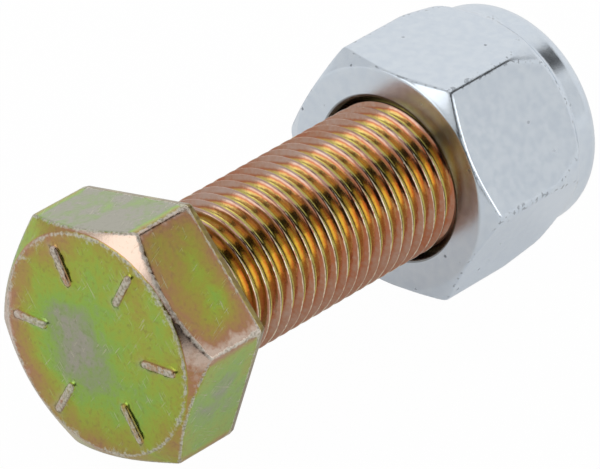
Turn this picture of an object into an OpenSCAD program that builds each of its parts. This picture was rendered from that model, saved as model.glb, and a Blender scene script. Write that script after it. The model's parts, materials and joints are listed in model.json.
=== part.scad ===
// Hex-head bolt with a nylon-ring lock nut run up to its tip, lying as it comes to rest.
// Every piece is drawn upright along Z, with the head's bearing face at zero and the tip above it,
// and one rotation lays the assembly down: the nut on a flat, the head on the corner below.

/* [Bolt] */
// Major diameter of the thread
thread_d = 12.7; // [10:0.1:14]
// Pitch of the right-hand thread
thread_pitch = 1.27; // [0.8:0.01:2]
// Length from the head's bearing face to the tip
bolt_length = 38.1; // [32:0.1:80]
// How far the flat end of the tip lies inside the thread's root
tip_relief = 0.15; // [0.05:0.05:1]
// Radius of the fillet between the shank and the head
under_head_fillet = 0.8; // [0.3:0.1:1.5]

/* [Head] */
// Width across the flats of the head
head_af = 18.7; // [18:0.05:24]
// How much the head's corners are rounded off, across two corners
head_corner_loss = 0.15; // [0.05:0.05:0.6]
// Height from the bearing face to the flat end of the head
head_h = 7.6; // [6:0.1:12]
// Diameter of the flat circle on the end of the head
head_face_d = 17.8; // [14:0.1:18]
// Slope of the chamfer around that circle
head_chamfer_angle = 33; // [15:1:45]
// Width of the bevel along the head's edges on the bearing side
head_edge_bevel = 0.35; // [0.1:0.05:0.8]
// Diameter of the washer face under the head
washer_face_d = 17.4; // [16:0.1:18]
// Height of the washer face
washer_face_h = 0.4; // [0.2:0.05:0.8]

/* [Nut] */
// Width across the flats of the nut
nut_af = 18.7; // [18.7:0.05:24]
// How much the nut's corners are rounded off, across two corners
nut_corner_loss = 0.15; // [0.05:0.05:0.6]
// Overall height of the nut, over its collar
nut_h = 15.1; // [14:0.1:20]
// Diameter of the nut's bearing face
nut_face_d = 18.4; // [16:0.1:18.6]
// Slope of the chamfer around the bearing face
nut_chamfer_angle = 30; // [15:1:45]
// Diameter of the countersunk mouth of the bore
nut_mouth_d = 13.8; // [13:0.1:15.5]
// Height at which the corners begin to draw in towards the collar
corner_taper_z = 7.65; // [4:0.05:10]
// Diameter over the drawn-in corners at the shoulder
shoulder_d = 20.3; // [19.6:0.1:21]
// Height of the shoulder
shoulder_z = 11.1; // [10.2:0.1:11.5]
// Slope of the shoulder above the drawn-in corners
shoulder_angle = 42; // [25:1:50]

/* [Collar and ring] */
// Radial thickness of the nylon ring
ring_wall = 1.5; // [1:0.05:2]
// Height of the nylon ring
ring_h = 2.3; // [1.5:0.1:3]
// Bevel on the ring's inner edges
ring_bevel = 0.3; // [0.1:0.05:0.6]
// Thickness of the collar's wall around the ring
collar_wall = 1.3; // [0.8:0.05:2]
// Radius of the collar's crimped outer edge
collar_round = 2.3; // [1:0.1:2.6]
// Thickness of the lip that holds the ring in
lip_h = 0.85; // [0.5:0.05:1.5]
// How far the lip reaches inwards over the ring
lip_reach = 0.75; // [0.3:0.05:1.2]

/* [Fits] */
// Radial room between the shank and the bores of the nut and the ring
thread_clearance = 0.05; // [0.02:0.01:0.1]
// Room between the ring and its groove
ring_clearance = 0.04; // [0.02:0.01:0.1]

/* [Pose] */
// How far the tip has entered the nylon ring, where a nut run up by hand stops
tip_entry = 0.5; // [0.1:0.1:12]
// Turn of the head about the axis, measured from the flat that the nut lies on
head_turn = -13; // [-30:0.5:30]

/* [Hidden] */
$fn = 96;
// Depth of the external thread as a share of its pitch
thread_depth_ratio = 0.6134;
// Overlap of a cut past the face that it opens
cut_past = 1;

shank_r = thread_d / 2;
tip_depth = thread_depth_ratio * thread_pitch + tip_relief;
head_corner_r = corner_radius(head_af, head_corner_loss);
head_face_r = head_face_d / 2;
head_chamfer_h = (head_corner_r - head_face_r) * tan(head_chamfer_angle);
head_underside_z = -washer_face_h;

nut_corner_r = corner_radius(nut_af, nut_corner_loss);
nut_face_r = nut_face_d / 2;
nut_chamfer_h = (nut_corner_r - nut_face_r) * tan(nut_chamfer_angle);
nut_mouth_r = nut_mouth_d / 2;
shoulder_r = shoulder_d / 2;

bore_r = shank_r + thread_clearance;
ring_r = bore_r + ring_wall;
groove_r = ring_r + ring_clearance;
groove_top = nut_h - lip_h;
ring_z = groove_top - ring_clearance - ring_h;
groove_z = ring_z - ring_clearance;
lip_r = groove_r - lip_reach;
collar_r = groove_r + collar_wall;
collar_z = shoulder_z + max(shoulder_r - collar_r, 0) * tan(shoulder_angle);
// Distance from the head's bearing face to the nut's
nut_place = bolt_length - tip_entry - ring_z;

// The assembly rests on the far end of the nut's lowest flat and on the near end of the head's lowest corner
head_low = lowest_reach(head_af, head_corner_r, head_turn);
nut_low = nut_af / 2;
head_rest_z = head_underside_z - head_edge_bevel;
nut_rest_z = nut_place + shoulder_z + (shoulder_r - nut_low) * tan(shoulder_angle);
rest_tilt = atan((head_low - nut_low) / (nut_rest_z - head_rest_z));

// Radius to the rounded corners of a hexagon
function corner_radius(across_flats, loss) = (across_flats / cos(30) - loss) / 2;

// How far a hexagon with rounded corners reaches down when one of its flats is turned away from straight down
function lowest_reach(across_flats, corner_r, turn) =
    let (corner_edge = acos(across_flats / 2 / corner_r))
    corner_r * cos(max(corner_edge - abs(turn), 0));

// Lays upright pieces down with their axis along X, the flat at +X of the nut underneath
module laid_down() {
    rotate([0, 90 + rest_tilt, 0]) children();
}

// Section across two flats of the head, bevelled along the bearing side
module head_slab_section() {
    half = head_af / 2;
    polygon([
        [-half, -head_h],
        [half, -head_h],
        [half, head_underside_z - head_edge_bevel],
        [half - head_edge_bevel, head_underside_z],
        [head_edge_bevel - half, head_underside_z],
        [-half, head_underside_z - head_edge_bevel]
    ]);
}

// Half section that turns the head's corners and its chamfer
module head_turned_section() {
    polygon([
        [0, -head_h],
        [head_face_r, -head_h],
        [head_corner_r, head_chamfer_h - head_h],
        [head_corner_r, head_underside_z],
        [0, head_underside_z]
    ]);
}

// Six-sided forged head, as three slabs that cross and a turned outline
module head() {
    intersection() {
        intersection_for (k = [0:2])
            rotate(head_turn + 60 * k)
                rotate([90, 0, 0])
                    linear_extrude(2 * head_af, center = true)
                        head_slab_section();
        rotate_extrude() head_turned_section();
    }
}

// Half section of the washer face, the fillet, the shank and its tip
module shank_section() {
    washer_root_z = -head_h / 2;
    translate([0, washer_root_z]) square([washer_face_d / 2, -washer_root_z]);
    polygon([
        [0, washer_root_z],
        [shank_r, washer_root_z],
        [shank_r, bolt_length - tip_depth],
        [shank_r - tip_depth, bolt_length],
        [0, bolt_length]
    ]);
    difference() {
        translate([0, washer_root_z])
            square([shank_r + under_head_fillet, under_head_fillet - washer_root_z]);
        translate([shank_r + under_head_fillet, under_head_fillet]) circle(under_head_fillet);
    }
}

// The bolt is one forged piece: head, washer face and shank
module hex_bolt() {
    color("#b3a04e")
        laid_down() {
            head();
            rotate_extrude() shank_section();
        }
}

// Half section of the nut's bearing chamfer, drawn-in corners and shoulder
module nut_turned_section() {
    polygon([
        [0, 0],
        [nut_face_r, 0],
        [nut_corner_r, nut_chamfer_h],
        [nut_corner_r, corner_taper_z],
        [shoulder_r, shoulder_z],
        [collar_r, collar_z],
        [0, collar_z]
    ]);
}

// Half section of the collar with its crimped round edge
module collar_section() {
    crimp_z = nut_h - collar_round;
    translate([0, shoulder_z]) square([collar_r, crimp_z - shoulder_z]);
    translate([0, shoulder_z]) square([collar_r - collar_round, nut_h - shoulder_z]);
    translate([collar_r - collar_round, crimp_z]) circle(collar_round);
}

// Half section of everything that is open inside the nut: mouth, bore, ring groove and lip
module nut_hollow_section() {
    polygon([
        [0, -cut_past],
        [nut_mouth_r + cut_past, -cut_past],
        [bore_r, nut_mouth_r - bore_r],
        [bore_r, groove_z],
        [groove_r, groove_z],
        [groove_r, groove_top],
        [lip_r, groove_top],
        [lip_r, nut_h + cut_past],
        [0, nut_h + cut_past]
    ]);
}

// Steel body of the lock nut: hexagon, collar and the lip that is crimped over the ring
module nut_body() {
    color("#c2ccd6")
        laid_down()
            translate([0, 0, nut_place])
                difference() {
                    union() {
                        intersection() {
                            rotate(30) cylinder(d = nut_af / cos(30), h = collar_z, $fn = 6);
                            rotate_extrude() nut_turned_section();
                        }
                        rotate_extrude() collar_section();
                    }
                    rotate_extrude() nut_hollow_section();
                }
}

// Half section of the locking ring, bevelled along its bore
module ring_section() {
    polygon([
        [bore_r + ring_bevel, ring_z],
        [ring_r, ring_z],
        [ring_r, ring_z + ring_h],
        [bore_r + ring_bevel, ring_z + ring_h],
        [bore_r, ring_z + ring_h - ring_bevel],
        [bore_r, ring_z + ring_bevel]
    ]);
}

// Nylon ring held in the nut's collar
module nylon_ring() {
    color("#e6e3d8")
        laid_down()
            translate([0, 0, nut_place])
                rotate_extrude() ring_section();
}

hex_bolt();
nut_body();
nylon_ring();
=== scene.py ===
"""A hex bolt and its lock nut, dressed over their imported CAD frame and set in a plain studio.

Every piece is drawn upright along +Z in its own frame, with the head's bearing face at zero and the
tip above it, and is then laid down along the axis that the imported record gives.
"""
import json
import logging
import math
from collections.abc import Callable, Sequence
from dataclasses import dataclass
from enum import Enum

import bmesh
import bpy
import numpy as np
from mathutils import Matrix, Vector
from mathutils.geometry import delaunay_2d_cdt

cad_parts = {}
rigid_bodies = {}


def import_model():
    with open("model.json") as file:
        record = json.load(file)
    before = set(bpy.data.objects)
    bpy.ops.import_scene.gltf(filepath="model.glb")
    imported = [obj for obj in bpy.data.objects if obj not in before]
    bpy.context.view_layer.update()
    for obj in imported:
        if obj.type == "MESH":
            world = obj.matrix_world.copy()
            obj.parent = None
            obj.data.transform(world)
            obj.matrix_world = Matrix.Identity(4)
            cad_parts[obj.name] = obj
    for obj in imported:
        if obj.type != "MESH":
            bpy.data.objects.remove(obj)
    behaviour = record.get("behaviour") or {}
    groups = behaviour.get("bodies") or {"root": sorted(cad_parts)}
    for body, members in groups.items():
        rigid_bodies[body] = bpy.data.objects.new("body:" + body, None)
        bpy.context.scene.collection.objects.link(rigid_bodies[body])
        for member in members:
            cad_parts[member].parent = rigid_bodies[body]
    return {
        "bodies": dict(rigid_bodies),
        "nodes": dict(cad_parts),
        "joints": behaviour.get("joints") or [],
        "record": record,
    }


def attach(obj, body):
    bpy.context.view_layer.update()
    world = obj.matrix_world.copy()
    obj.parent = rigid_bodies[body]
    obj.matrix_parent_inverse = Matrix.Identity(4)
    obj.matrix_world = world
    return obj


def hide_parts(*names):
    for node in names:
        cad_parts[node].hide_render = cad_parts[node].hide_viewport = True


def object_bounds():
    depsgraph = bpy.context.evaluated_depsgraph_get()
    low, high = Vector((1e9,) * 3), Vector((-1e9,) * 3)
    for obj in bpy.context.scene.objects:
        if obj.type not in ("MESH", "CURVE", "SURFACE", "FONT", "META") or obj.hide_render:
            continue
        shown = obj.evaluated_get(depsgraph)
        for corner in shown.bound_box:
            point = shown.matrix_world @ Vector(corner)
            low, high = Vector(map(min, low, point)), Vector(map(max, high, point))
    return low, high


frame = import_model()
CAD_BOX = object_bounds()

MM = 0.001
FULL_TURN = 2 * math.pi
SIDES = 6
SIDE_DEGREES = 60
SECTOR = math.radians(SIDE_DEGREES)
HALF_SECTOR = SECTOR / 2
MOST_CUT = 0.45  # of a side, by the rounding at one of its ends
NOISE_MEAN = 0.5
EVEN = 0.25  # patchiness of the shank and the bevel, which take the thread's film colours
INSIDE_EDGES = 1  # the triangles that filling a face keeps
POINT_ROOM = 1e-6
LOG = logging.getLogger("bolt")

Values = float | np.ndarray
Pair = tuple[float, float]
Colour = tuple[float, float, float, float]
Profile = list[Pair]
Surface = tuple[np.ndarray, np.ndarray, np.ndarray]


class Mark(Enum):
    """Numbers that every point of a skin carries for its finish."""

    WORN = "worn"
    FILM = "film"
    PATCHY = "patchy"


def blend_least(first: Values, second: Values, reach: float) -> Values:
    """Takes the lesser of two distances, rounding the edge where they are within reach of each other."""
    share = np.maximum(reach - np.abs(first - second), 0.0) / reach
    return np.minimum(first, second) - share**2 * reach / 4


def blend_most(first: Values, second: Values, reach: float) -> Values:
    """Takes the greater of two distances, rounding the corner where they cross."""
    return -blend_least(-first, -second, reach)


def near(distance: Values, reach: float) -> Values:
    """Falls smoothly from one at no distance towards zero past the reach."""
    return np.exp(-((distance / reach) ** 2))


def climb(values: Values, low: Values, high: Values) -> Values:
    """Rises evenly from zero to one between two values, or falls where the first is the higher."""
    return np.clip((values - low) / (high - low), 0, 1)


def leaning(angles: Values, side: float) -> Values:
    """Gives one towards a side and zero towards the opposite one."""
    return 0.5 + 0.5 * np.cos(angles - side)


def spun(radius: Values, angles: np.ndarray) -> np.ndarray:
    """Gives the places across the axis at radii and angles, one row each."""
    return np.stack((radius * np.cos(angles), radius * np.sin(angles)), axis=1)


def rounded(corners: Profile, radii: Sequence[float], steps: int = 5) -> Profile:
    """Rounds the corners of an open outline, and keeps its two ends.

    Args:
        corners: Radius and height of each corner, ends included.
        radii: Rounding of each corner between the ends.
        steps: Points along each rounding.

    Returns:
        The outline with an arc in place of each corner.
    """
    outline = [corners[0]]
    for before, corner, after, radius in zip(corners, corners[1:], corners[2:], radii):
        here = Vector(corner)
        back = Vector(before) - here
        ahead = Vector(after) - here
        half = back.angle(ahead) / 2
        cut = min(radius / math.tan(half), MOST_CUT * back.length, MOST_CUT * ahead.length)
        start = here + back.normalized() * cut
        end = here + ahead.normalized() * cut
        for step in range(steps):
            share = step / (steps - 1)
            first = start.lerp(here, share)
            second = here.lerp(end, share)
            point = first.lerp(second, share)
            outline.append((point.x, point.y))
    outline.append(corners[-1])
    return outline


def direction(turn: float, height: float) -> Vector:
    """Gives the direction at a turn about +Z from +X and at a height above the horizon, both angles."""
    flat = math.cos(height)
    return Vector((flat * math.cos(turn), flat * math.sin(turn), math.sin(height)))


def linked(name: str, data: bpy.types.ID) -> bpy.types.Object:
    """Adds an object with the given data to the scene."""
    made = bpy.data.objects.new(name, data)
    bpy.context.scene.collection.objects.link(made)
    return made


def linear(code: str) -> Colour:
    """Turns a colour as it is seen, in six hex digits, into a shader's linear one by the sRGB curve."""
    parts = [int(code[place : place + 2], 16) / 255 for place in (0, 2, 4)]
    red, green, blue = (
        part / 12.92 if part <= 0.04045 else ((part + 0.055) / 1.055) ** 2.4 for part in parts
    )
    return (red, green, blue, 1.0)


@dataclass(frozen=True)
class Lay:
    """How the upright pieces lie: along the record's axis, with the nut's place on it."""

    axis: Vector
    nut_place: float

    @classmethod
    def from_frame(cls, loaded: dict) -> "Lay":
        """Reads the axis and the nut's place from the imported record."""
        axis = Vector(loaded["joints"][0]["axis"]).normalized()
        mounts = {mount["name"]: mount for mount in loaded["record"]["mounts"]}
        return cls(axis, Vector(mounts["nut_bearing_face"]["pos_m"]).dot(axis))

    def matrix(self) -> Matrix:
        """Gives the turn that lays +Z along the axis and +X downwards."""
        down = Vector((self.axis.z, 0.0, -self.axis.x))
        side = self.axis.cross(down)
        return Matrix((down, side, self.axis)).transposed().to_4x4()


@dataclass(frozen=True)
class Hexagon:
    """A hexagon with rounded corners, seen along the axis."""

    across_flats: float
    corner_loss: float
    turn: float
    corner_steps: tuple[float, ...] = (0.45, 0.9, 1.3, 1.8, 2.8, 4.4, 6.6, 9.2, 12, 15, 18, 21, 24, 27)

    @property
    def corner_round(self) -> float:
        """Gives the radius of the corners."""
        return self.corner_loss / 2 / (1 / math.cos(HALF_SECTOR) - 1)

    def angles(self) -> np.ndarray:
        """Gives the columns of a skin around the axis, gathered at the corners."""
        steps = np.array(self.corner_steps)
        sector = np.concatenate(([0.0], steps, [SIDE_DEGREES / 2], SIDE_DEGREES - steps[::-1]))
        turns = [sector + SIDE_DEGREES * side for side in range(SIDES)]
        return np.radians(np.concatenate(turns)) % FULL_TURN

    def from_corner(self, angles: np.ndarray) -> np.ndarray:
        """Gives the angle from the nearest corner, where angles are counted from a corner."""
        return np.abs((angles + HALF_SECTOR) % SECTOR - HALF_SECTOR)

    def radius(self, angles: np.ndarray, inset: float = 0.0) -> np.ndarray:
        """Gives the distance from the axis to the outline.

        Args:
            angles: Angles counted from a corner.
            inset: How far the flats are moved inwards.

        Returns:
            The distance at each angle.
        """
        flat = self.across_flats / 2 - inset
        rounding = self.corner_round
        centre = (flat - rounding) / math.cos(HALF_SECTOR)
        off = self.from_corner(angles)
        tangent = HALF_SECTOR - math.atan((flat - rounding) * math.tan(HALF_SECTOR) / flat)
        room = np.maximum(rounding**2 - (centre * np.sin(off)) ** 2, 0.0)
        on_corner = centre * np.cos(off) + np.sqrt(room)
        on_flat = flat / np.cos(HALF_SECTOR - off)
        return np.where(off < tangent, on_corner, on_flat)


@dataclass(frozen=True)
class ScrewThread:
    """A right-hand thread with flat crests, straight flanks and rounded roots."""

    diameter: float = 12.7 * MM
    pitch: float = 1.27 * MM
    crest_half: float = 0.07 * MM
    depth_share: float = 0.6134
    nut_depth_share: float = 0.5413
    clearance: float = 0.03 * MM
    crest_round: float = 0.14 * MM
    root_round: float = 0.16 * MM
    flank_angle: float = math.radians(60)
    rows: tuple[float, ...] = (
        -0.42, -0.3, -0.19, -0.12, -0.08, -0.04, 0.0, 0.04, 0.08, 0.12, 0.19, 0.3, 0.42, 0.5
    )

    @property
    def depth(self) -> float:
        """Gives the full depth of the bolt's thread."""
        return self.depth_share * self.pitch

    def share(self, angles: Values, heights: Values) -> Values:
        """Gives how far a point lies from the nearest crest, as a share of the pitch."""
        turns = heights / self.pitch - angles / FULL_TURN
        return np.abs((turns + 0.5) % 1.0 - 0.5)

    def cut(self, angles: Values, heights: Values) -> Values:
        """Gives how deep the bolt's thread is cut at a point."""
        off_crest = self.share(angles, heights) * self.pitch - self.crest_half
        flank = off_crest * math.tan(self.flank_angle)
        outside = blend_most(flank, np.zeros_like(flank), self.crest_round)
        return blend_least(outside, np.full_like(flank, self.depth), self.root_round)

    def bore(self, angles: Values, heights: Values) -> Values:
        """Gives the distance from the axis to the nut's thread."""
        surface = self.diameter / 2 - self.cut(angles, heights)
        least = self.diameter / 2 - self.nut_depth_share * self.pitch
        return np.maximum(surface + self.clearance, least)


class Skin:
    """Rings of points around the axis, joined into one closed mesh."""

    def __init__(self, angles: np.ndarray, turn: float) -> None:
        """Starts an empty skin, with columns at angles that are counted from the first one's turn."""
        self.angles = angles
        self.turn = turn
        self.points: list[tuple[float, float, float]] = []
        self.faces: list[tuple[int, ...]] = []
        self.marks: dict[Mark, list[float]] = {mark: [] for mark in Mark}
        self.patchy = 1.0

    @property
    def bearing(self) -> np.ndarray:
        """Gives the angle of each column about the axis."""
        return self.angles + self.turn

    @property
    def across(self) -> np.ndarray:
        """Gives the direction of each column across the axis."""
        return spun(1.0, self.bearing)

    def place(
        self, across: np.ndarray, heights: Values, worn: Values = 0.0, film: Values = 0.0
    ) -> np.ndarray:
        """Adds points, as patchy as the skin is at the time.

        Args:
            across: Places across the axis, one row each.
            heights: Heights along the axis.
            worn: Wear of the finish at the points.
            film: Thickness of the finish at the points; on the nut, how little painted shade they get.

        Returns:
            The points' numbers.
        """
        count = len(across)
        first = len(self.points)
        rise = np.broadcast_to(heights, count)
        self.points.extend((float(x), float(y), float(z)) for (x, y), z in zip(across, rise))
        self.marks[Mark.WORN].extend(np.broadcast_to(worn, count).tolist())
        self.marks[Mark.FILM].extend(np.broadcast_to(film, count).tolist())
        self.marks[Mark.PATCHY].extend([self.patchy] * count)
        return np.arange(first, first + count)

    def ring(self, radius: Values, height: Values, worn: Values = 0.0, film: Values = 0.0) -> np.ndarray:
        """Adds one ring of points and gives their numbers."""
        return self.place(self.across * np.reshape(radius, (-1, 1)), height, worn, film)

    def join(self, rings: Sequence[np.ndarray]) -> None:
        """Joins each ring to the next with four-sided faces."""
        for lower, upper in zip(rings, rings[1:]):
            corners = (lower, np.roll(lower, -1), np.roll(upper, -1), upper)
            self.faces.extend(zip(*(corner.tolist() for corner in corners)))

    def fan(self, ring: np.ndarray, middle: np.ndarray, height: float, worn: float, film: float) -> None:
        """Closes a ring with triangles around a point in its middle."""
        tip = int(self.place(middle, height, worn, film)[0])
        self.faces.extend((a, b, tip) for a, b in zip(ring.tolist(), np.roll(ring, -1).tolist()))

    def screw(
        self,
        thread: ScrewThread,
        lower: np.ndarray,
        upper: np.ndarray,
        span: Pair,
        surface: Callable[[np.ndarray, np.ndarray], Surface],
    ) -> None:
        """Fills the room between two rings with rows that follow the thread.

        Args:
            thread: The thread that the rows follow.
            lower: Ring at the lower end.
            upper: Ring at the upper end.
            span: Heights of the two rings.
            surface: Gives radius, wear and film for angles and heights.
        """
        bottom, top = span
        count = len(self.angles)
        bearing = np.append(self.bearing, self.bearing[0] + FULL_TURN)
        spare_turns = 3
        first = math.floor(bottom / thread.pitch) - spare_turns
        last = math.ceil(top / thread.pitch) + spare_turns
        starts = np.add.outer(np.arange(first, last), np.array(thread.rows)).ravel()
        heights = thread.pitch * (starts[:, None] + bearing[None, :] / FULL_TURN)
        margin = 0.004 * MM
        below = heights <= bottom + margin
        above = heights >= top - margin
        inside = ~(below | above)
        ids = np.empty(heights.shape, dtype=int)
        columns = np.broadcast_to(np.arange(count + 1) % count, heights.shape)
        ids[below] = lower[columns[below]]
        ids[above] = upper[columns[above]]
        own = inside.copy()
        own[:, count] = False
        turn = np.broadcast_to(bearing, heights.shape)
        radius, worn, film = surface(turn[own], heights[own])
        ids[own] = self.place(spun(radius, turn[own]), heights[own], worn, film)
        seam = np.flatnonzero(inside[:, count])
        ids[seam, count] = ids[seam + len(thread.rows), 0]
        for low, high in zip(ids.tolist(), ids[1:].tolist()):
            for corners in zip(low, low[1:], high[1:], high):
                apart = tuple(dict.fromkeys(corners))
                if len(apart) > 2:
                    self.faces.append(apart)

    def build(self, name: str, lay: Matrix) -> bpy.types.Object:
        """Makes the object.

        Args:
            name: Name of the piece.
            lay: Turn from the upright frame to the world.

        Returns:
            The linked object, smooth and with its marks.
        """
        mesh = bpy.data.meshes.new(name)
        mesh.from_pydata(self.points, [], self.faces)
        for mark, values in self.marks.items():
            layer = mesh.attributes.new(mark.value, "FLOAT", "POINT")
            layer.data.foreach_set("value", values)
        shape = bmesh.new()
        shape.from_mesh(mesh)
        bmesh.ops.recalc_face_normals(shape, faces=shape.faces)
        loose = sum(1 for edge in shape.edges if not edge.is_manifold)
        shape.to_mesh(mesh)
        shape.free()
        mesh.transform(lay)
        mesh.shade_smooth()
        piece = linked(name, mesh)
        weighted = piece.modifiers.new("flat faces stay flat", "WEIGHTED_NORMAL")
        weighted.weight = 50
        LOG.info("%s: %d points, %d faces, %d open edges", name, len(self.points), len(self.faces), loose)
        return piece


class Signal:
    """One output of a shader graph, which takes part in Python arithmetic."""

    def __init__(self, graph: "Graph", socket: bpy.types.NodeSocket) -> None:
        """Wraps a socket of a graph."""
        self.graph = graph
        self.socket = socket

    def _with(self, operation: str, first: "Signal | float", second: "Signal | float") -> "Signal":
        """Adds the node for one operation, in vector form where a colour or vector takes part."""
        parts = [part for part in (first, second) if isinstance(part, Signal)]
        wide = any(part.socket.type in {"RGBA", "VECTOR"} for part in parts)
        kind = "ShaderNodeVectorMath" if wide else "ShaderNodeMath"
        return self.graph.node(kind, {"operation": operation}, {0: first, 1: second})

    def __add__(self, other: "Signal | float") -> "Signal":
        """Adds."""
        return self._with("ADD", self, other)

    __radd__ = __add__

    def __sub__(self, other: "Signal | float") -> "Signal":
        """Subtracts."""
        return self._with("SUBTRACT", self, other)

    def __rsub__(self, other: float) -> "Signal":
        """Subtracts from a number."""
        return self._with("SUBTRACT", other, self)

    def __mul__(self, other: "Signal | float") -> "Signal":
        """Multiplies."""
        return self._with("MULTIPLY", self, other)

    __rmul__ = __mul__

    def swing(self, size: float) -> "Signal":
        """Turns noise about a half into a swing of the given size about zero."""
        return (self - NOISE_MEAN) * size


class Graph:
    """A node tree that is filled one node at a time."""

    def __init__(self, tree: bpy.types.NodeTree) -> None:
        """Empties a node tree."""
        self.tree = tree
        tree.nodes.clear()

    def node(
        self,
        kind: str,
        settings: dict[str, object] | None = None,
        inputs: dict[int | str, object] | None = None,
        output: int | str = 0,
    ) -> Signal:
        """Adds any node.

        Args:
            kind: Blender's name for the node's type.
            settings: Properties that are set first, with a ramp's stops under "stops".
            inputs: A value or a signal for each socket, by name or number.
            output: The output to hand on.

        Returns:
            The output's signal.
        """
        node = self.tree.nodes.new(kind)
        for key, value in (settings or {}).items():
            if key == "stops":
                self._stops(node.color_ramp, value)
            else:
                setattr(node, key, value)
        for key, value in (inputs or {}).items():
            socket = node.inputs[key]
            if isinstance(value, Signal):
                self.tree.links.new(value.socket, socket)
            elif socket.type == "VECTOR" and isinstance(value, (int, float)):
                socket.default_value = (value, value, value)
            else:
                socket.default_value = value
        return Signal(self, node.outputs[output]) if len(node.outputs) else Signal(self, node.inputs[0])

    @staticmethod
    def _stops(ramp: bpy.types.ColorRamp, stops: Sequence[tuple[float, Colour]]) -> None:
        """Sets the stops of a ramp."""
        while len(ramp.elements) < len(stops):
            ramp.elements.new(1.0)
        for element, (place, colour) in zip(ramp.elements, stops):
            element.position = place
            element.color = colour

    def mark(self, mark: Mark) -> Signal:
        """Reads a number that the skin carries."""
        return self.node("ShaderNodeAttribute", {"attribute_name": mark.value}, output="Fac")

    def where(self) -> Signal:
        """Gives the place on the object."""
        return self.node("ShaderNodeTexCoord", output="Object")

    def noise(self, where: Signal, size: float, detail: float = 3.0, warp: float = 0.0) -> Signal:
        """Adds soft noise about a half, with patches of the given size in metres."""
        inputs = {"Vector": where, "Scale": 1 / size, "Detail": detail, "Distortion": warp}
        return self.node("ShaderNodeTexNoise", {"noise_dimensions": "3D"}, inputs, "Fac")

    def step(self, value: Signal, low: float, high: float) -> Signal:
        """Rises smoothly from zero to one between two values, or falls where the first is the higher."""
        ends = {"Value": value, "From Min": min(low, high), "From Max": max(low, high)}
        rising = self.node("ShaderNodeMapRange", {"interpolation_type": "SMOOTHSTEP"}, ends)
        return rising if low < high else 1 - rising

    def mix(self, share: Signal | float, first: Signal | str, second: Signal | str) -> Signal:
        """Mixes two colours, each a signal or six hex digits."""
        ends = [linear(end) if isinstance(end, str) else end for end in (first, second)]
        # The node's colours are its inputs 6 and 7 and its output 2.
        return self.node("ShaderNodeMix", {"data_type": "RGBA"}, {0: share, 6: ends[0], 7: ends[1]}, 2)

    def ramp(self, share: Signal, films: Sequence[tuple[float, str]]) -> Signal:
        """Turns a value into a colour, with six hex digits at every stop."""
        stops = [(place, linear(code)) for place, code in films]
        return self.node("ShaderNodeValToRGB", {"stops": stops}, {"Fac": share}, "Color")

    def scratches(
        self, where: Signal, turn: tuple[float, float, float], length: float, width: float
    ) -> Signal:
        """Draws fine scratches, which are one where a surface cuts a stack of thin turned sheets."""
        inputs = {"Vector": where, "Rotation": turn, "Scale": (length, length, width)}
        along = self.node("ShaderNodeMapping", {"vector_type": "TEXTURE"}, inputs)
        return self.step(self.noise(along, size=1.0, detail=1.0), low=0.66, high=0.72)

    def bump(self, height: Signal, distance: float, strength: float) -> Signal:
        """Turns a height into a normal."""
        inputs = {"Height": height, "Distance": distance, "Strength": strength}
        return self.node("ShaderNodeBump", {}, inputs, "Normal")

    def end(self, shader: Signal, kind: str = "ShaderNodeOutputMaterial") -> None:
        """Ends the tree in a shader."""
        self.node(kind, {}, {"Surface": shader})

    def dress(self, inputs: dict[int | str, object]) -> None:
        """Ends the tree in a principled shader with the given looks."""
        self.end(self.node("ShaderNodeBsdfPrincipled", {}, inputs))


def painted(name: str) -> tuple[bpy.types.Material, Graph]:
    """Makes an empty material and the graph that fills it."""
    material = bpy.data.materials.new(name)
    material.use_nodes = True
    return material, Graph(material.node_tree)


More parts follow.
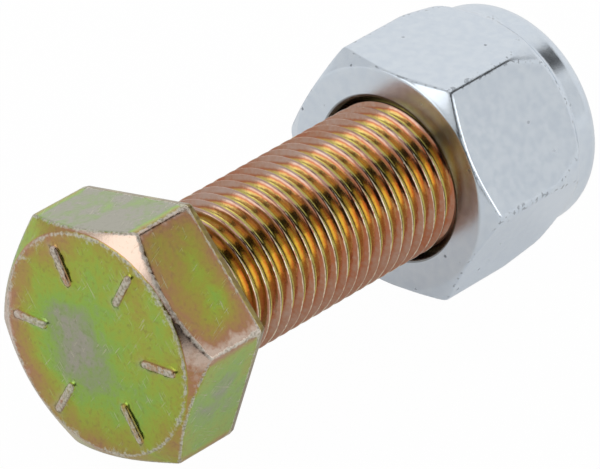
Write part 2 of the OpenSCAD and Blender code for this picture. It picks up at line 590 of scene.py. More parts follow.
@dataclass(frozen=True)
class YellowChromate:
    """Yellow chromate over zinc: a thin film whose colour follows its thickness, worn along the edges."""

    name: str = "yellow_zinc"
    head_films: tuple[tuple[float, str], ...] = (
        # The palest stop, which the chamfer's upper front takes, is partly a painted highlight.
        (0.00, "d4bba9"),
        (0.14, "ad7a54"),
        (0.30, "ab8f3e"),
        (0.45, "a39f2c"),
        (0.58, "9cae2a"),
        (0.72, "8cb23a"),
        (0.88, "8fa068"),
        (1.00, "9d9a88"),
    )
    thread_films: tuple[tuple[float, str], ...] = (
        (0.00, "c2a597"),
        (0.10, "b5866c"),
        (0.18, "b0623a"),
        (0.28, "c99e5a"),
        (0.40, "d0be6c"),
        (0.50, "bcb45c"),
        (0.62, "7c6834"),
    )
    crest: str = "efe6cc"
    bare: str = "e0dcd2"
    dull: str = "a8a294"
    fleck: str = "cbc5a8"
    pock: str = "5a5433"
    fleck_share: float = 0.5
    mark_share: float = 0.5
    pock_share: float = 0.4
    rub_share: float = 0.8
    roughness: float = 0.12
    patchy_rough: float = 0.1
    rub_rough: float = 0.4
    mark_rough: float = 0.1
    grain_rough: float = 0.12
    coat: float = 0.2
    patchy_coat: float = 0.22
    coat_loss: float = 0.6
    coat_rough: float = 0.2
    coat_ior: float = 1.9

    def material(self) -> bpy.types.Material:
        """Builds the finish."""
        material, graph = painted(self.name)
        where = graph.where()
        worn, film, patchy = (graph.mark(mark) for mark in (Mark.WORN, Mark.FILM, Mark.PATCHY))
        clouds = graph.noise(where, size=6.0 * MM, detail=3.0, warp=0.8)
        grain = graph.noise(where, size=0.35 * MM, detail=4.0)
        speckle = graph.noise(where, size=0.2 * MM, detail=2.0)
        scuffs = graph.noise(where, size=1.8 * MM, detail=5.0, warp=1.0)
        blotches = clouds.swing(0.8) + scuffs.swing(0.4) + grain.swing(0.15)
        thickness = film + patchy * blotches + grain.swing(0.1)
        on_head = graph.ramp(thickness, self.head_films)
        on_thread = graph.ramp(thickness, self.thread_films)
        head = graph.step(patchy, low=0.4, high=0.9)
        coloured = graph.mix(head, on_thread, on_head)
        scratched = graph.scratches(where, turn=(0.9, 0.5, 0.2), length=2.6 * MM, width=0.1 * MM)
        crossed = graph.scratches(where, turn=(-0.7, 0.8, 1.1), length=1.8 * MM, width=0.09 * MM)
        flecks = graph.step(speckle * scuffs, low=0.41, high=0.49)
        scuffed = graph.step(scuffs, low=0.48, high=0.62)
        marks = patchy * (scratched + crossed) * scuffed + flecks * self.fleck_share
        pocks = patchy * graph.step(grain, low=0.47, high=0.3) * scuffs
        pocked = graph.mix(pocks * self.pock_share, coloured, self.pock)
        flecked = graph.mix(marks * self.mark_share, pocked, self.fleck)
        rubbed = graph.step(worn + grain.swing(1.3) + scuffs.swing(1.1), low=0.5, high=1.0)
        steel = graph.mix(graph.step(speckle, low=0.3, high=0.6), self.dull, self.bare)
        metal = graph.mix(head, self.crest, steel)
        rough = self.roughness + patchy * self.patchy_rough + rubbed * patchy * self.rub_rough
        graph.dress(
            {
                "Base Color": graph.mix(rubbed * self.rub_share, flecked, metal),
                "Metallic": 1.0,
                "Roughness": rough + marks * self.mark_rough + grain.swing(self.grain_rough),
                "Normal": graph.bump(grain * 0.6 + speckle * 0.4, distance=0.02 * MM, strength=0.45),
                "Coat Weight": (self.coat + patchy * self.patchy_coat) * (1 - rubbed * self.coat_loss),
                "Coat Roughness": self.coat_rough,
                "Coat IOR": self.coat_ior,
            }
        )
        return material


@dataclass(frozen=True)
class ClearZinc:
    """Bright zinc with a clear passivate: pale blue-grey, faintly clouded, with small pits."""

    name: str = "clear_zinc"
    pale: str = "dae2ea"
    deep: str = "d3dce6"
    pit: str = "565b62"
    # Dark grey-brown of the painted shade inside the bore and the mouth, partly oil.
    bore_shade: str = "5d5a52"
    pit_spacing: float = 1.5 * MM
    pit_share: float = 0.7
    pit_rough: float = 0.2
    pit_depth: float = 0.8
    chip_share: float = 0.45
    roughness: float = 0.24

    def material(self) -> bpy.types.Material:
        """Builds the finish."""
        material, graph = painted(self.name)
        where = graph.where()
        clouds = graph.noise(where, size=0.8 * MM, detail=5.0)
        grain = graph.noise(where, size=0.3 * MM, detail=4.0)
        clouded = graph.mix(graph.step(clouds, low=0.3, high=0.7), self.deep, self.pale)
        spread = {"Vector": where, "Scale": 1 / self.pit_spacing}
        cells = graph.node("ShaderNodeTexVoronoi", {}, spread, "Distance")
        patches = graph.step(graph.noise(where, size=4.0 * MM, detail=2.0), low=0.5, high=0.62)
        pits = graph.step(cells + grain.swing(0.12), low=0.12, high=0.06) * patches
        pitted = graph.mix(pits * self.pit_share, clouded, self.pit)
        nicks = graph.step(graph.noise(where, size=0.4 * MM, detail=4.0), low=0.5, high=0.62)
        chipped = graph.step(graph.mark(Mark.WORN) * nicks, low=0.55, high=0.9)
        edged = graph.mix(chipped * self.chip_share, pitted, self.pit)
        # Painted shade: where the film mark is low, in the threaded bore, the mouth and faintly the groove
        # under the lip, the zinc is painted darker.
        bore_shaded = graph.step(graph.mark(Mark.FILM), low=0.35, high=0.1)
        graph.dress(
            {
                "Base Color": graph.mix(bore_shaded, edged, self.bore_shade),
                "Metallic": 1.0,
                "Roughness": self.roughness + clouds.swing(0.08) + pits * self.pit_rough,
                "Normal": graph.bump(grain - pits * self.pit_depth, distance=0.02 * MM, strength=0.12),
            }
        )
        return material


@dataclass(frozen=True)
class MouldedNylon:
    """Natural nylon as it comes from the mould: milky, faintly clouded and softly shining."""

    name: str = "nylon"
    pale: str = "f0ede2"
    deep: str = "e2ddcc"
    roughness: float = 0.36
    ior: float = 1.53

    def material(self) -> bpy.types.Material:
        """Builds the finish."""
        material, graph = painted(self.name)
        where = graph.where()
        clouds = graph.noise(where, size=2.0 * MM, detail=3.0)
        grain = graph.noise(where, size=0.15 * MM, detail=3.0)
        graph.dress(
            {
                "Base Color": graph.mix(clouds, self.deep, self.pale),
                "Roughness": self.roughness + clouds.swing(0.2),
                "Normal": graph.bump(grain, distance=0.02 * MM, strength=0.2),
                "IOR": self.ior,
            }
        )
        return material


@dataclass(frozen=True)
class FaceFilm:
    """How thick the film is over the end of the head, where it runs out faster to one side."""

    thin_side: float = math.radians(62)
    green_side: float = math.radians(330)
    middle: float = 0.74
    gain: float = 0.24
    fall: Pair = (0.28, 0.6)
    green: float = 0.14
    even_share: float = 0.35
    reach: float = 1.05

    def thickness(self, across: np.ndarray, rim: float) -> np.ndarray:
        """Gives the thickness at places across the axis, on a face of the given radius."""
        out = np.minimum(np.linalg.norm(across, axis=1) / rim, self.reach)
        bearing = np.arctan2(across[:, 1], across[:, 0])
        side = 0.5 + 0.5 * np.cos(bearing - self.thin_side) * np.minimum(out / self.even_share, 1.0)
        green = np.maximum(np.cos(bearing - self.green_side), 0)
        fall = self.fall[0] + self.fall[1] * side
        return self.middle + self.gain * side - fall * out**2 + self.green * green * out


@dataclass(frozen=True)
class SideFilm:
    """How worn the head's chamfer and flats are and how thick their film is, with a painted sheen on the
    top flat and a partly painted highlight on the chamfer.
    """

    # Film of each flat; the top one's, near the greyest stop, paints the pale grazing sheen that the top
    # flat shows.
    flats: tuple[float, ...] = (0.2, 0.35, 0.95, 0.14, 0.62, 0.3)
    middle: float = 0.9
    gain: float = 0.65
    fade_end: float = 5.0 * MM
    fade_bevel: float = 2.6 * MM
    fade_corner: float = 4.2 * MM
    corner_film: float = 0.4
    corner_width: float = 0.8 * MM
    chamfer: float = -0.02
    # Each tint of the chamfer has a side, a thickness and a sharpness. The last thins the film to the
    # palest cream on the upper front, partly the chamfer's worn film and partly a painted highlight where
    # the back soft box shines.
    tints: tuple[tuple[float, float, int], ...] = (
        (math.radians(125), 0.68, 8),
        (math.radians(330), 0.45, 2),
        (math.radians(200), -0.25, 8),
    )
    edge_reach: float = 0.27 * MM
    corner_reach: float = 0.26 * MM
    bevel_reach: float = 0.25 * MM
    knock: float = 0.5
    knock_reach: Pair = (0.9 * MM, 1.0 * MM)
    rub: float = 0.65
    rub_side: float = math.radians(65)
    rub_sharpness: int = 4

    def marks(
        self, skin: Skin, past: np.ndarray, corner: np.ndarray, below: np.ndarray, left: float
    ) -> tuple[np.ndarray, np.ndarray]:
        """Gives the wear and the film along one ring.

        Args:
            skin: The bolt's skin.
            past: How far the chamfer's cone lies outside the hexagon.
            corner: Distance from the nearest corner.
            below: Distance along the axis from the chamfer's edge.
            left: Distance along the axis to the bevel.

        Returns:
            Wear and film of each column.
        """
        worn = np.maximum(near(past, self.edge_reach), near(corner, self.corner_reach) * (past > 0))
        worn = np.maximum(worn, near(left, self.bevel_reach))
        worn = worn + self.knock * near(corner, self.knock_reach[0]) * near(left, self.knock_reach[1])
        worn = worn + self.rub * leaning(skin.bearing, self.rub_side) ** self.rub_sharpness * (past < 0)
        sides = (np.degrees(skin.angles) // SIDE_DEGREES).astype(int) % SIDES
        flats = np.array(self.flats)[sides] * np.clip(corner / self.corner_width, self.corner_film, 1)
        inside = np.minimum(below / self.fade_end, left / self.fade_bevel)
        inside = np.clip(np.minimum(inside, corner / self.fade_corner), 0, 1)
        chamfer = self.chamfer
        for side, film, sharpness in self.tints:
            chamfer = chamfer + film * leaning(skin.bearing, side) ** sharpness
        middle = flats + np.clip(self.middle - flats, 0, self.gain) * inside
        return worn, np.where(past > 0, middle, chamfer)


@dataclass(frozen=True)
class ThreadFilm:
    """How worn the thread's crests are, how the film thickens towards its roots, and the painted shade in
    the deepest roots.
    """

    rich_side: float = math.radians(218)
    away: Pair = (0.84, 0.54)
    lower: float = 0.35
    crest_wear: Pair = (0.4, 0.6)
    crest_depth: float = 0.12
    crest: float = 0.03
    crest_gain: float = 0.15
    bottom: float = 0.6
    bottom_loss: float = 0.07
    root: float = 0.44
    root_loss: float = 0.1
    start: float = 0.17
    start_lower: float = 0.05
    start_away: float = 0.34
    run: float = 0.4
    # Painted shade: the deepest part of the roots, except on the top and on the rich side, is pushed to the
    # ramp's darkest olive.
    dark: float = 0.8
    root_shade_depth: Pair = (0.7, 0.9)

    def marks(self, angles: np.ndarray, deep: np.ndarray) -> tuple[np.ndarray, np.ndarray]:
        """Gives the wear and the film at angles and at depths, which are shares of the thread's depth."""
        under = np.minimum(1 + np.cos(angles), 1.0)
        lower = climb(under, 0.0, self.lower)
        away = climb(np.cos(angles - self.rich_side), *self.away)
        worn = (self.crest_wear[0] + self.crest_wear[1] * lower) * climb(deep, self.crest_depth, 0.0)
        crest = self.crest + self.crest_gain * lower - self.bottom_loss * climb(under, self.bottom, 1.0)
        start = self.start + self.start_lower * lower + self.start_away * away
        root = self.root - self.root_loss * away
        film = crest + (root - crest) * climb(deep, start, start + self.run)
        # The last term is the painted shade in the roots.
        return worn, film + self.dark * away * lower * climb(deep, *self.root_shade_depth)


@dataclass
class HexBolt:
    """The bolt: forged head with grade dashes, washer face, threaded shank and tip."""

    hexagon: Hexagon
    thread: ScrewThread
    finish: YellowChromate
    face_film: FaceFilm = FaceFilm()
    side_film: SideFilm = SideFilm()
    thread_film: ThreadFilm = ThreadFilm()
    length: float = 38.1 * MM
    head_height: float = 7.6 * MM
    face_radius: float = 8.9 * MM
    chamfer_slope: float = math.radians(33)
    face_round: float = 0.5 * MM
    face_step: float = 0.55 * MM
    rim_room: float = 0.6 * MM
    rim_wear: float = 0.9
    rim_reach: float = 0.25 * MM
    edge_round: float = 0.2 * MM
    side_rows: int = 18
    bevel: float = 0.5 * MM
    bevel_inset: float = 0.1 * MM
    bevel_round: float = 0.1 * MM
    bevel_steps: int = 3
    bevel_film: float = 0.62
    bevel_wear: tuple[float, float, float] = (0.5, 0.0, 0.4)
    band_shares: Pair = (0.2, 0.8)
    washer_radius: float = 8.7 * MM
    washer_height: float = 0.4 * MM
    washer_foot: float = 0.08 * MM
    washer_lead: float = 0.18 * MM
    washer_rounds: tuple[float, float, float] = (0.06 * MM, 0.1 * MM, 0.02 * MM)
    washer_wear: float = 0.15
    washer_rub: float = 0.5
    washer_rub_width: float = 0.2 * MM
    under_wear: float = 0.1
    under_film: float = 0.4
    fillet: float = 0.8 * MM
    runout: float = 1.6 * MM
    tip_relief: float = 0.15 * MM
    tip_round: float = 0.1 * MM
    tip_steps: Pair = (0.5, 1.0)
    tip_bulge: float = 0.8
    tip_wear: float = 0.3
    tip_edge_film: float = 0.3
    tip_film: float = 0.5
    tip_middle_film: float = 0.6
    tip_shares: tuple[float, ...] = (0.9, 0.6, 0.3)
    dash_turns: tuple[float, ...] = (27.9, 87.6, 148.9, 205.9, 264.9, 324.4)
    dash_reach: Pair = (4.75 * MM, 8.15 * MM)
    dash_half: float = 0.36 * MM
    dash_height: float = 0.28 * MM
    dash_room: float = 0.2 * MM
    dash_insets: tuple[float, ...] = (0.05 * MM, 0.1 * MM, 0.2 * MM)
    dash_rises: tuple[float, ...] = (0.55, 0.9, 1.0)
    dash_wear: tuple[float, ...] = (0.6, 0.8, 0.9)
    dash_foot_wear: float = 0.2
    dash_top_wear: float = 0.75
    dash_loss: float = 0.3
    dash_top_film: float = 0.3
    dash_end_steps: int = 7
    dash_side_steps: int = 6

    def head_film(self, across: np.ndarray) -> np.ndarray:
        """Gives the film's thickness over the end of the head."""
        return self.face_film.thickness(across, self.face_radius)

    def dash_outline(self, turn: float, inset: float) -> np.ndarray:
        """Draws one grade dash with round ends.

        Args:
            turn: Angle of the dash about the axis, in degrees.
            inset: How far inside its foot the outline lies.

        Returns:
            The outline's points across the axis.
        """
        half = self.dash_half - inset
        ends = (self.dash_reach[1] - self.dash_half, self.dash_reach[0] + self.dash_half)
        sweep = np.linspace(-math.pi / 2, math.pi / 2, self.dash_end_steps)
        middles = np.linspace(*ends, self.dash_side_steps)[1:-1]
        parts = []
        for end, way in zip(ends, (1, -1)):
            parts.append(np.stack((end + way * half * np.cos(sweep), way * half * np.sin(sweep)), axis=1))
            parts.append(np.stack((middles[::way], np.full_like(middles, way * half)), axis=1))
        cos, sin = math.cos(math.radians(turn)), math.sin(math.radians(turn))
        return np.concatenate(parts) @ np.array(((cos, sin), (-sin, cos)))

    def face_points(self, limit: float) -> np.ndarray:
        """Scatters points over the end of the head, clear of the dashes and the edge."""
        points = []
        for ring in range(int(limit / self.face_step)):
            count = max(1, SIDES * ring)
            points.append(spun(ring * self.face_step, np.arange(count) / count * FULL_TURN))
        spread = np.concatenate(points)
        clear = np.ones(len(spread), dtype=bool)
        for turn in self.dash_turns:
            along = spun(1.0, np.radians([turn]))[0]
            forward = np.clip(spread @ along, *self.dash_reach)
            away = np.linalg.norm(spread - forward[:, None] * along, axis=1)
            clear &= away > self.dash_half + self.dash_room
        return spread[clear]

    def end_face(self, skin: Skin, rim: np.ndarray) -> None:
        """Fills the flat end of the head and raises its dashes.

        Args:
            skin: The bolt's skin.
            rim: Ring around the flat end.
        """
        height = -self.head_height
        feet = []
        for turn in self.dash_turns:
            outline = self.dash_outline(turn, 0.0)
            feet.append(skin.place(outline, height, self.dash_foot_wear, self.head_film(outline)))
        spread = self.face_points(self.face_radius - self.rim_room)
        scattered = skin.place(spread, height, 0.0, self.head_film(spread))
        numbers = np.concatenate([rim, *feet, scattered])
        flat = [Vector(skin.points[number][:2]) / MM for number in numbers]
        edges = []
        first = 0
        owner = np.full(len(numbers), -1)
        for group, loop in enumerate([rim, *feet]):
            count = len(loop)
            owner[first : first + count] = group
            edges.extend((first + step, first + (step + 1) % count) for step in range(count))
            first += count
        _, _, triangles, sources, _, _ = delaunay_2d_cdt(flat, edges, [], INSIDE_EDGES, POINT_ROOM)
        for triangle in triangles:
            corners = [sources[corner][0] for corner in triangle]
            groups = {int(owner[corner]) for corner in corners}
            if len(groups) > 1 or groups & {-1, 0}:
                skin.faces.append(tuple(int(numbers[corner]) for corner in corners))
        for turn, foot in zip(self.dash_turns, feet):
            self.dash(skin, turn, foot)

    def dash(self, skin: Skin, turn: float, foot: np.ndarray) -> None:
        """Raises one dash from its foot.

        Args:
            skin: The bolt's skin.
            turn: Angle of the dash, in degrees.
            foot: Points of its foot.
        """
        rings = [foot]
        for inset, share, worn in zip(self.dash_insets, self.dash_rises, self.dash_wear):
            outline = self.dash_outline(turn, inset)
            film = self.head_film(outline) - self.dash_loss
            rings.append(skin.place(outline, -self.head_height - share * self.dash_height, worn, film))
        skin.join(rings)
        middle = spun(sum(self.dash_reach) / 2, np.radians([turn]))
        top = -self.head_height - self.dash_height
        skin.fan(rings[-1], middle, top, self.dash_top_wear, self.dash_top_film)

    def head(self, skin: Skin) -> np.ndarray:
        """Builds the head from its rim to the fillet under it.

        Args:
            skin: The bolt's skin.

        Returns:
            The last ring, where the shank begins.
        """
        hexagon = self.hexagon.radius(skin.angles)
        corner = hexagon * np.sin(self.hexagon.from_corner(skin.angles))
        end = -self.head_height
        slope = math.tan(self.chamfer_slope)
        turned = rounded(
            [(0.0, end), (self.face_radius, end), (self.face_radius + MM, end + slope * MM)],
            [self.face_round],
        )
        rings = []
        for radius, height in turned[1:-1]:
            worn = self.rim_wear * near(radius - self.face_radius, self.rim_reach)
            rings.append(skin.ring(radius, height, worn, self.head_film(skin.across * radius)))
        self.end_face(skin, rings[0])
        edge_height = end + (hexagon - self.face_radius) * slope
        chamfer_end = edge_height.max() + self.edge_round
        bevel_start = -self.washer_height - self.bevel
        stops = (turned[-2][1], chamfer_end, bevel_start - self.bevel_round)
        rows = [np.linspace(low, high, self.side_rows)[1:] for low, high in zip(stops, stops[1:])]
        for height in np.concatenate(rows):
            cone = self.face_radius + (height - end) / slope
            radius = blend_least(hexagon, np.full_like(hexagon, cone), self.edge_round)
            worn, film = self.side_film.marks(
                skin, cone - hexagon, corner, height - edge_height, bevel_start - height
            )
            rings.append(skin.ring(radius, height, worn, film))
        rings.extend(self.bearing_side(skin))
        skin.join(rings)
        return rings[-1]

    def bearing_side(self, skin: Skin) -> list[np.ndarray]:
        """Gives the rings of the bevel, the washer face and the fillet under the head."""
        under = -self.washer_height
        bevel_start = under - self.bevel
        edge = rounded(
            [
                (0.0, bevel_start - self.bevel),
                (0.0, bevel_start),
                (self.bevel_inset, under),
                (self.bevel_inset + self.bevel, under),
            ],
            [self.bevel_round, self.bevel_round],
            self.bevel_steps,
        )[1:-1]
        half = len(edge) // 2
        start, stop = np.array(edge[half - 1]), np.array(edge[half])
        band = [tuple(start + (stop - start) * share) for share in self.band_shares]
        rings = []
        skin.patchy = EVEN
        for points, worn in zip((edge[:half], band, edge[half:]), self.bevel_wear):
            for inset, height in points:
                radius = self.hexagon.radius(skin.angles, inset)
                rings.append(skin.ring(radius, height, worn, self.bevel_film))
        skin.patchy = 1.0
        beneath = self.hexagon.radius(skin.angles, self.bevel_inset + self.bevel_round)
        between = (beneath + self.washer_radius + self.washer_foot) / 2
        rings.append(skin.ring(between, under, self.under_wear, self.under_film))
        shank = self.thread.diameter / 2
        outline = rounded(
            [
                (self.washer_radius + self.washer_lead, under),
                (self.washer_radius, under),
                (self.washer_radius, 0.0),
                (shank + self.fillet, 0.0),
                (shank, 0.0),
                (shank, self.fillet),
            ],
            [*self.washer_rounds, self.fillet],
        )
        for radius, height in outline[1:]:
            rubbed = self.washer_rub * (radius > self.washer_radius - self.washer_rub_width)
            rings.append(skin.ring(radius, height, self.washer_wear + rubbed, self.under_film))
        return rings

    def shank_surface(self, angles: np.ndarray, heights: np.ndarray) -> Surface:
        """Gives the threaded shank's radius, wear and film at angles and heights."""
        cut = self.thread.cut(angles, heights) * climb(heights, self.fillet, self.fillet + self.runout)
        outside = self.thread.diameter / 2
        cone = outside - self.thread.depth - self.tip_relief + self.length - heights
        worn, film = self.thread_film.marks(angles, cut / self.thread.depth)
        return np.minimum(outside - cut, cone), worn, film

    def build(self, lay: Lay) -> bpy.types.Object:
        """Builds and dresses the bolt."""
        skin = Skin(self.hexagon.angles(), self.hexagon.turn + HALF_SECTOR)
        start = self.head(skin)
        tip_height = self.length - self.tip_round
        skin.patchy = EVEN
        radius, worn, film = self.shank_surface(skin.bearing, np.full_like(skin.bearing, tip_height))
        tip = skin.ring(radius, tip_height, worn, film)
        skin.screw(self.thread, start, tip, (self.fillet, tip_height), self.shank_surface)
        end_radius = radius.min() - self.tip_round
        rings = [tip]
        for share in self.tip_steps:
            out = end_radius + self.tip_round * (1 - share) * self.tip_bulge
            height = tip_height + self.tip_round * share
            rings.append(skin.ring(out, height, self.tip_wear, self.tip_edge_film))
        for share in self.tip_shares:
            rings.append(skin.ring(end_radius * share, self.length, 0.0, self.tip_film))
        skin.join(rings)
        skin.fan(rings[-1], np.zeros((1, 2)), self.length, 0.0, self.tip_middle_film)
        piece = skin.build("hex_bolt_forged", lay.matrix())
        piece.data.materials.append(self.finish.material())
        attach(piece, "bolt")
        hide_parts("hex_bolt")
        return piece


@dataclass
class LockNut:
    """The nut's steel body: hexagon, drawn-in corners, collar, crimped lip and threaded bore."""

    hexagon: Hexagon
    thread: ScrewThread
    finish: ClearZinc
    height: float = 15.1 * MM
    face_radius: float = 9.2 * MM
    chamfer_slope: float = math.radians(30)
    mouth_radius: float = 6.9 * MM
    taper_height: float = 7.65 * MM
    shoulder_radius: float = 10.15 * MM
    shoulder_height: float = 11.1 * MM
    shoulder_slope: float = math.radians(42)
    collar_radius: float = 9.24 * MM
    collar_round: float = 1.7 * MM
    lip_radius: float = 7.19 * MM
    lip_height: float = 0.85 * MM
    groove_radius: float = 7.94 * MM
    groove_bottom: float = 11.87 * MM
    edge_round: float = 0.3 * MM
    corner_blend: float = 0.24 * MM
    foot_round: float = 0.35 * MM
    mouth_round: float = 0.1 * MM
    # Each row lies so far outside the mouth's edge and so high above the bearing face.
    mouth_rows: tuple[Pair, ...] = ((-0.03 * MM, 0.03 * MM), (0.04 * MM, 0.003 * MM), (0.12 * MM, 0.0))
    mouth_wear: float = 0.3
    face_span: Pair = (0.2 * MM, 0.15 * MM)
    face_rows: int = 5
    face_edge: Pair = (0.06 * MM, 0.004 * MM)
    face_edge_wear: float = 0.2
    level_stops: tuple[float, ...] = (0.025 * MM, 1.35 * MM, 6.9 * MM, 12.4 * MM)
    level_rows: tuple[int, ...] = (18, 12, 46)
    edge_reach: float = 0.2 * MM
    corner_reach: float = 0.22 * MM
    lip_edge: float = 0.12 * MM
    lip_drop: float = 0.02 * MM
    lip_rounds: tuple[float, ...] = (0.12 * MM, 0.08 * MM, 0.1 * MM, 0.1 * MM)
    crimp_rows: int = 14
    floor_room: float = 0.2 * MM
    # On the nut the film mark only sets painted shade: the lower it is, the darker the clear zinc is
    # painted.
    clean_film: float = 0.5
    lip_film: float = 0.3
    bore_shade_film: float = 0.2

    def outline(self, height: float) -> float:
        """Gives the turned outline's radius at a height above the bearing face."""
        corner = self.hexagon.across_flats / 2 / math.cos(HALF_SECTOR) - self.hexagon.corner_loss / 2
        foot = self.face_radius + height / math.tan(self.chamfer_slope)
        taper = (corner - self.shoulder_radius) / (self.shoulder_height - self.taper_height)
        drawn = corner - max(height - self.taper_height, 0.0) * taper
        shoulder = self.shoulder_radius - (height - self.shoulder_height) / math.tan(self.shoulder_slope)
        body = blend_least(foot, min(drawn, corner), self.edge_round)
        if height > self.taper_height:
            body = blend_least(body, shoulder, self.edge_round)
        return float(blend_most(body, self.collar_radius, self.foot_round))

    def outside(self, skin: Skin, place: float) -> list[np.ndarray]:
        """Builds the rings from the mouth over the outside to the floor of the ring's groove.

        Args:
            skin: The nut's skin.
            place: Height of the bearing face.

        Returns:
            The rings in order.
        """
        hexagon = self.hexagon.radius(skin.angles)
        corner = hexagon * np.sin(self.hexagon.from_corner(skin.angles))
        low = place + self.mouth_round
        rings = [skin.ring(self.mouth_radius - self.mouth_round, low, 0.0, self.bore_shade_film)]
        for out, height in self.mouth_rows:
            radius = self.mouth_radius + out
            rings.append(skin.ring(radius, place + height, self.mouth_wear, self.bore_shade_film))
        ends = (self.mouth_radius + self.face_span[0], self.face_radius - self.face_span[1])
        for radius in np.linspace(*ends, self.face_rows):
            rings.append(skin.ring(radius, place, 0.0, self.clean_film))
        radius = self.face_radius - self.face_edge[0]
        rings.append(skin.ring(radius, place + self.face_edge[1], self.face_edge_wear, self.clean_film))
        stops = zip(self.level_stops, self.level_stops[1:], self.level_rows)
        for level in np.unique(np.concatenate([np.linspace(*stop) for stop in stops])):
            turned = self.outline(level)
            radius = blend_least(hexagon, np.full_like(hexagon, turned), self.corner_blend)
            edge = near(hexagon - turned, self.edge_reach)
            worn = np.maximum(edge, near(corner, self.corner_reach) * (turned > hexagon))
            rings.append(skin.ring(radius, place + level, worn, self.clean_film))
        crimp = self.height - self.collar_round
        lip = self.lip_radius + self.lip_edge
        sweep_end = math.acos((lip - self.collar_radius + self.collar_round) / self.collar_round)
        for sweep in np.linspace(0, sweep_end, self.crimp_rows):
            radius = self.collar_radius - self.collar_round * (1 - math.cos(sweep))
            height = place + crimp + self.collar_round * math.sin(sweep)
            rings.append(skin.ring(radius, height, 0.0, self.clean_film))
        top = crimp + self.collar_round * math.sin(sweep_end)
        lip_under = self.height - self.lip_height
        inside = rounded(
            [
                (lip, top),
                (self.lip_radius, top - self.lip_drop),
                (self.lip_radius, lip_under),
                (self.groove_radius, lip_under),
                (self.groove_radius, self.groove_bottom),
                (self.thread.diameter / 2 + self.floor_room, self.groove_bottom),
            ],
            self.lip_rounds,
        )
        rings.extend(skin.ring(radius, place + height, 0.0, self.lip_film) for radius, height in inside[1:])
        return rings

    def build(self, lay: Lay) -> bpy.types.Object:
        """Builds and dresses the nut."""
        place = lay.nut_place
        skin = Skin(self.hexagon.angles(), self.hexagon.turn + HALF_SECTOR)
        rings = self.outside(skin, place)

        def bore(angles: np.ndarray, heights: np.ndarray) -> Surface:
            """Gives the radius, wear and film of the threaded bore and its mouth."""
            surface = self.thread.bore(angles, heights)
            mouth = self.mouth_radius - (heights - place)
            # A film of zero paints the full shade over the threaded bore.
            blank = np.zeros_like(heights)
            return np.maximum(surface, mouth), blank, blank

        top = place + self.groove_bottom
        radius, _, _ = bore(skin.bearing, np.full_like(skin.bearing, top))
        rings.append(skin.ring(radius, top, 0.0, self.bore_shade_film))
        skin.join(rings)
        skin.screw(self.thread, rings[0], rings[-1], (place + self.mouth_round, top), bore)
        piece = skin.build("lock_nut_body", lay.matrix())
        piece.data.materials.append(self.finish.material())
        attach(piece, "nut")
        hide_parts("nut_body")
        return piece


@dataclass
class LockRing:
    """The nylon ring that the nut's lip holds in its collar."""

    finish: MouldedNylon
    bore: float = 6.4 * MM
    outer: float = 7.9 * MM
    bottom: float = 11.91 * MM
    height: float = 2.3 * MM
    bevel: float = 0.3 * MM
    edge_round: float = 0.15 * MM
    columns: int = 144

    def build(self, lay: Lay) -> bpy.types.Object:
        """Builds and dresses the ring."""
        skin = Skin(np.arange(self.columns) / self.columns * FULL_TURN, 0.0)
        low = lay.nut_place + self.bottom
        high = low + self.height
        middle = (low + high) / 2
        corners = [
            (self.outer, middle),
            (self.outer, high),
            (self.bore + self.bevel, high),
            (self.bore, high - self.bevel),
            (self.bore, low + self.bevel),
            (self.bore + self.bevel, low),
            (self.outer, low),
            (self.outer, middle),
        ]
        outline = rounded(corners, [self.edge_round] * (len(corners) - 2))
        rings = [skin.ring(radius, height) for radius, height in outline[:-1]]
        skin.join([*rings, rings[0]])
        piece = skin.build("lock_ring_moulded", lay.matrix())
        piece.data.materials.append(self.finish.material())
        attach(piece, "lock_ring")
        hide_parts("nylon_ring")
        return piece


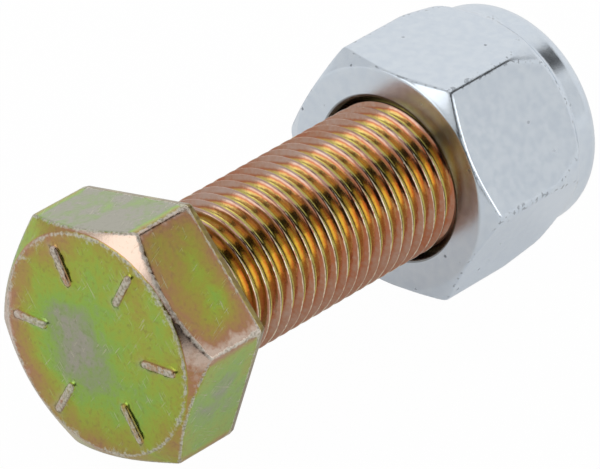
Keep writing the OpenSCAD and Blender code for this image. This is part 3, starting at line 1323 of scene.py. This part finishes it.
@dataclass
class Studio:
    """A pale floor in an even white room, soft boxes behind and in front, and a dark gap between them."""

    floor_level: float
    floor_reach: float = 3.0
    sky: float = 0.7
    arch_back: tuple[float, float, float] = (0.106, 0.95, 0.293)
    arch_span: Pair = (0.0, math.radians(150))
    arch_width: float = math.radians(28)
    arch_flare: float = math.radians(38)
    arch_start: float = math.radians(5)
    arch_narrow: float = math.radians(25)
    arch_shift: float = math.radians(13)
    arch_bite: float = math.radians(20)
    arch_bite_span: Pair = (math.radians(24), math.radians(60))
    arch_radius: float = 0.15
    arch_steps: int = 64
    seam_span: Pair = (math.radians(70), math.radians(114))
    seam_place: float = math.radians(19)
    seam_half: float = math.radians(3.5)
    box_distance: float = 0.8
    floor_glow: float = 0.985
    floor_shine: float = 0.4
    floor_colour: str = "f4f4f4"
    cloth_colour: str = "1c1a18"
    sky_colour: str = "ffffff"

    def floor(self) -> bpy.types.Object:
        """Lays the floor."""
        ends = (-self.floor_reach, self.floor_reach)
        corners = [Vector((x, y, 0.0)) for x in ends for y in ends]
        material, graph = painted("pale_floor")
        matt = graph.node("ShaderNodeBsdfDiffuse", {}, {"Color": linear(self.floor_colour)})
        glow = graph.node("ShaderNodeEmission", {}, {"Strength": 1.0})
        rays = ("Is Camera Ray", "Is Glossy Ray", "Is Transmission Ray")
        seen, gloss, through = (graph.node("ShaderNodeLightPath", output=ray) for ray in rays)
        share = seen * self.floor_glow + (gloss + through) * self.floor_shine
        graph.end(graph.node("ShaderNodeMixShader", {}, {0: share, 1: matt, 2: glow}))
        return self.sheet("studio_floor", corners, [(0, 2, 3, 1)], material)

    def arch_edges(self, sweep: float) -> Pair:
        """Gives how far the cloth's two edges lie in front of its line, at a place from left to right."""
        leftwards = math.cos(sweep)
        back = self.arch_start * (1 - abs(leftwards))
        if leftwards < 0:
            return back - self.arch_shift * leftwards**2, self.arch_width + self.arch_narrow * leftwards
        if self.arch_bite_span[0] < sweep < self.arch_bite_span[1]:
            back = self.arch_bite
        return back, self.arch_width + self.arch_flare * leftwards**2

    def arch(self) -> bpy.types.Object:
        """Hangs the wide cloth."""
        sweeps = np.linspace(*self.arch_span, self.arch_steps + 1)
        return self.strip("studio_arch", sweeps, [self.arch_edges(sweep) for sweep in sweeps])

    def seam(self) -> bpy.types.Object:
        """Hangs the narrow cloth."""
        sweeps = np.linspace(*self.seam_span, self.arch_steps + 1)
        edges = (-self.seam_place - self.seam_half, -self.seam_place + self.seam_half)
        return self.strip("studio_seam", sweeps, [edges] * len(sweeps))

    def strip(self, name: str, sweeps: np.ndarray, edges: Sequence[Pair]) -> bpy.types.Object:
        """Hangs a strip of dark cloth around the part, which only the metal mirrors.

        Args:
            name: Name of the strip.
            sweeps: Places from left to right.
            edges: How far the two edges lie in front of the arch's line at each place.

        Returns:
            The strip.
        """
        back = Vector(self.arch_back).normalized()
        top = (Vector((0.0, 0.0, 1.0)) - back * back.z).normalized()
        left = back.cross(top)
        left *= -math.copysign(1.0, left.x)
        points = []
        for side in range(2):
            for sweep, pair in zip(sweeps, edges):
                edge = pair[side]
                ring = left * math.cos(sweep) + top * math.sin(sweep)
                points.append((ring * math.cos(edge) - back * math.sin(edge)) * self.arch_radius)
        row = len(sweeps)
        faces = [(step, step + 1, row + step + 1, row + step) for step in range(row - 1)]
        strip = self.sheet(name, points, faces, self.cloth())
        strip.visible_camera = False
        return strip

    def cloth(self) -> bpy.types.Material:
        """Makes the black cloth of the arch."""
        material, graph = painted("black_cloth")
        graph.end(graph.node("ShaderNodeBsdfDiffuse", {}, {"Color": linear(self.cloth_colour)}))
        return material

    def sheet(
        self, name: str, points: list[Vector], faces: list[tuple[int, ...]], material: bpy.types.Material
    ) -> bpy.types.Object:
        """Makes one sheet of the studio, placed from the floor's level."""
        mesh = bpy.data.meshes.new(name)
        mesh.from_pydata(points, [], faces)
        mesh.materials.append(material)
        sheet = linked(name, mesh)
        sheet.location.z = self.floor_level
        return sheet

    def world(self) -> None:
        """Lights the room evenly."""
        world = bpy.data.worlds.new("studio_room")
        world.use_nodes = True
        bpy.context.scene.world = world
        graph = Graph(world.node_tree)
        inputs = {"Color": linear(self.sky_colour), "Strength": self.sky}
        graph.end(graph.node("ShaderNodeBackground", {}, inputs), "ShaderNodeOutputWorld")

    def soft_box(self, name: str, turn: float, rise: float, size: Pair, level: float) -> bpy.types.Object:
        """Hangs a soft box that faces the part.

        Args:
            name: Name of the lamp.
            turn: Direction of the box about +Z, in degrees from +X.
            rise: Height of the box above the horizon, in degrees.
            size: Width and height.
            level: Brightness, on the same scale as the room's.

        Returns:
            The lamp.
        """
        lamp = bpy.data.lights.new(name, "AREA")
        lamp.shape = "RECTANGLE"
        lamp.size, lamp.size_y = size
        lamp.energy = level * math.pi * lamp.size * lamp.size_y
        box = linked(name, lamp)
        away = direction(math.radians(turn), math.radians(rise))
        box.location = away * self.box_distance
        box.rotation_euler = away.to_track_quat("Z", "Y").to_euler()
        box.visible_camera = False
        return box


@dataclass
class PhotoCamera:
    """The photograph's camera, hung so that one point of the axis falls on its pixel."""

    image: tuple[int, int] = (600, 469)
    focal_pixels: float = 6860.0
    sensor: float = 36.0
    heading: float = math.radians(41.52)
    dip: float = math.radians(31.29)
    roll: float = math.radians(-0.72)
    anchor_height: float = -0.4 * MM
    anchor_pixel: Pair = (160.7, 308.0)
    anchor_depth: float = 512.5 * MM

    def build(self, lay: Lay) -> bpy.types.Object:
        """Hangs the camera and hands it to the scene."""
        ahead = direction(self.heading, -self.dip)
        level = Vector((math.sin(self.heading), -math.cos(self.heading), 0.0))
        upright = level.cross(ahead)
        right = level * math.cos(self.roll) + upright * math.sin(self.roll)
        up = right.cross(ahead)
        scale = self.anchor_depth / self.focal_pixels
        across = (self.anchor_pixel[0] - self.image[0] / 2) * scale
        below = (self.anchor_pixel[1] - self.image[1] / 2) * scale
        anchor = lay.axis * self.anchor_height
        data = bpy.data.cameras.new("photo_camera")
        data.sensor_fit = "HORIZONTAL"
        data.sensor_width = self.sensor
        data.lens = self.focal_pixels * self.sensor / self.image[0]
        camera = linked("photo_camera", data)
        turn = Matrix((right, up, -ahead)).transposed().to_4x4()
        spot = anchor - right * across + up * below - ahead * self.anchor_depth
        camera.matrix_world = Matrix.Translation(spot) @ turn
        bpy.context.scene.camera = camera
        return camera


def main() -> None:
    """Builds the camera, the pieces and the studio in order."""
    logging.basicConfig(level=logging.INFO, format="%(message)s")
    bpy.context.scene.view_settings.view_transform = "Standard"
    lay = Lay.from_frame(frame)
    camera = PhotoCamera().build(lay)
    thread = ScrewThread()
    flats = {"across_flats": 18.7 * MM, "corner_loss": 0.15 * MM}
    pieces = [
        HexBolt(Hexagon(**flats, turn=math.radians(-13)), thread, YellowChromate()).build(lay),
        LockNut(Hexagon(**flats, turn=0.0), thread, ClearZinc()).build(lay),
        LockRing(MouldedNylon()).build(lay),
    ]
    studio = Studio(floor_level=float(CAD_BOX[0][2]))
    stage = [
        studio.floor(),
        studio.arch(),
        studio.seam(),
        studio.soft_box("back_box", turn=161, rise=28, size=(0.44, 0.45), level=1.0),
        studio.soft_box("front_box", turn=-72, rise=15, size=(0.4, 0.42), level=1.45),
        studio.soft_box("right_box", turn=18, rise=26, size=(1.9, 0.78), level=0.2),
        studio.soft_box("top_box", turn=0, rise=74, size=(0.65, 0.65), level=0.4),
    ]
    studio.world()
    for made in (camera, *pieces, *stage):
        LOG.info("made %s", made.name)


if __name__ == "__main__":
    main()
